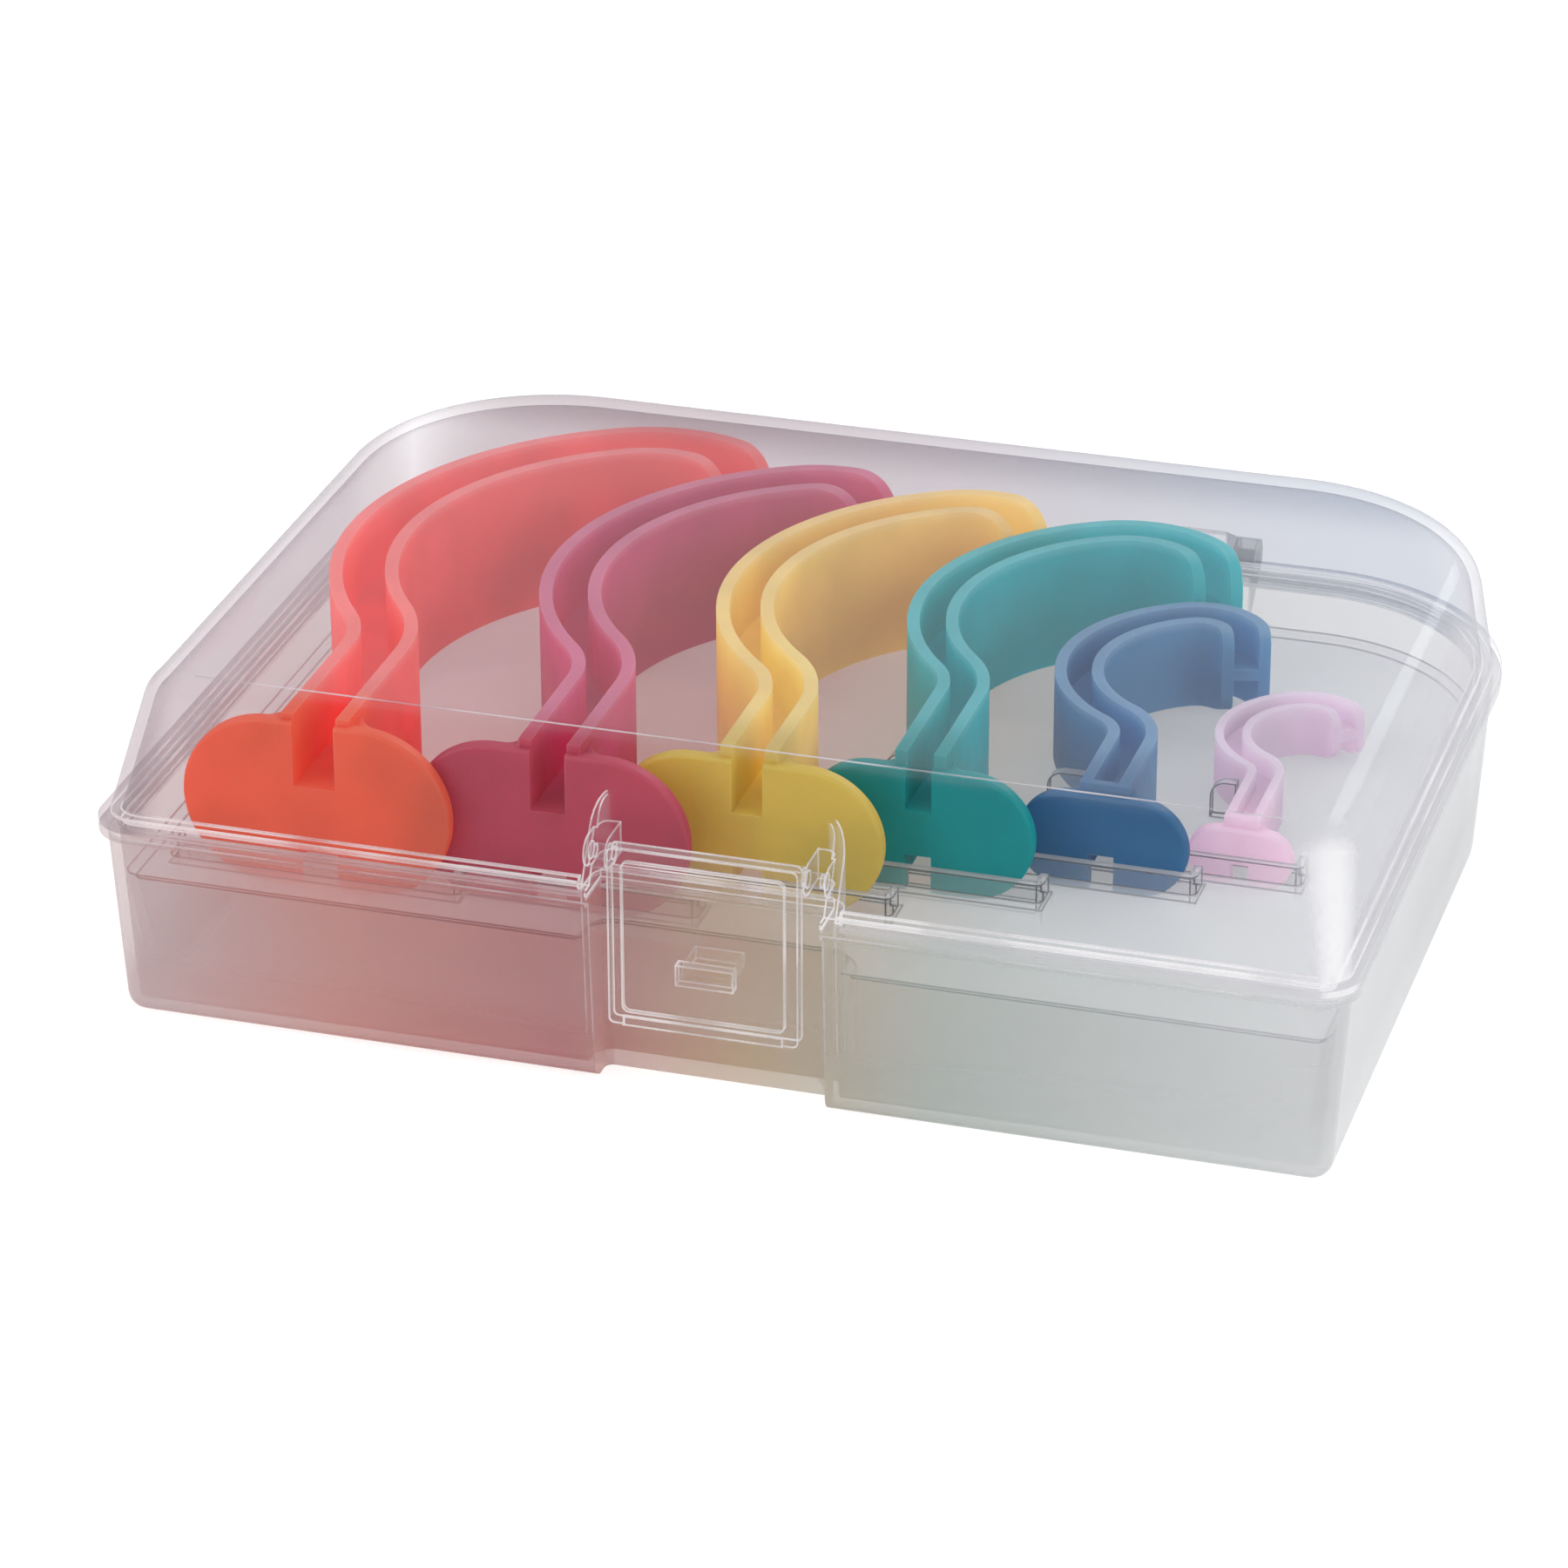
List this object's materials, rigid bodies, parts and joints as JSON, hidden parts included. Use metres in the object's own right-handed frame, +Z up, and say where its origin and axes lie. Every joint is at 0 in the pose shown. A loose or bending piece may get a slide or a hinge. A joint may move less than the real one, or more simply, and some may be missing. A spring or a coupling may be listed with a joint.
{
  "type": "oropharyngeal airway kit",
  "caption": "Hinged clear plastic case with a front latch and a raised tray that holds a graded set of moulded side-channel oropharyngeal airways on edge.",
  "frame": {"origin": "under the middle of the case's rims, hinges not counted, on the surface it stands on", "axes": "+X to the right seen from the latch side, +Y from the latch to the hinges, +Z up"},
  "size_m": [0.168, 0.1303, 0.0455],
  "materials": {
    "case_base_frosted": "frosted translucent polypropylene, moulded, fine matt texture",
    "case_lid_clear": "clear polypropylene with slight haze, glossy, brighter along its edges",
    "latch_clear": "clear polypropylene, glossy, moulded border",
    "tray_clear": "clear to milky polypropylene, semi-gloss",
    "airway_orange": "coral-orange polyethylene, slightly translucent, satin",
    "airway_purple": "plum polyethylene, slightly translucent, satin",
    "airway_yellow": "yellow polyethylene, slightly translucent, satin",
    "airway_teal": "teal polyethylene, slightly translucent, satin",
    "airway_blue": "slate-blue polyethylene, slightly translucent, satin",
    "airway_pink": "pale pink polyethylene, slightly translucent, satin"
  },
  "bodies": {
    "base": {"case_base": "case_base_frosted", "insert_tray": "tray_clear"},
    "lid": {"case_lid": "case_lid_clear"},
    "latch": {"latch": "latch_clear"},
    "airway_orange_110": {"airway_orange_110": "airway_orange"},
    "airway_purple_100": {"airway_purple_100": "airway_purple"},
    "airway_yellow_90": {"airway_yellow_90": "airway_yellow"},
    "airway_teal_80": {"airway_teal_80": "airway_teal"},
    "airway_blue_60": {"airway_blue_60": "airway_blue"},
    "airway_pink_40": {"airway_pink_40": "airway_pink"}
  },
  "joints": [
    {"name": "lid_hinge", "type": "hinge", "parent": "base", "child": "lid", "pos_m": [0, 0.06525, 0.0276], "axis": [-1, 0, 0], "range_deg": [0, 110]},
    {"name": "latch_hinge", "type": "hinge", "parent": "lid", "child": "latch", "pos_m": [0, -0.05895, 0.0334], "axis": [-1, 0, 0], "range_deg": [0, 100]},
    {"name": "airway_orange_110_lift", "type": "slide", "parent": "base", "child": "airway_orange_110", "axis": [0, 0, 1], "range_m": [0, 0.001]},
    {"name": "airway_purple_100_lift", "type": "slide", "parent": "base", "child": "airway_purple_100", "axis": [0, 0, 1], "range_m": [0, 0.0018]},
    {"name": "airway_yellow_90_lift", "type": "slide", "parent": "base", "child": "airway_yellow_90", "axis": [0, 0, 1], "range_m": [0, 0.0026]},
    {"name": "airway_teal_80_lift", "type": "slide", "parent": "base", "child": "airway_teal_80", "axis": [0, 0, 1], "range_m": [0, 0.0048]},
    {"name": "airway_blue_60_lift", "type": "slide", "parent": "base", "child": "airway_blue_60", "axis": [0, 0, 1], "range_m": [0, 0.0098]},
    {"name": "airway_pink_40_lift", "type": "slide", "parent": "base", "child": "airway_pink_40", "axis": [0, 0, 1], "range_m": [0, 0.015]}
  ]
}
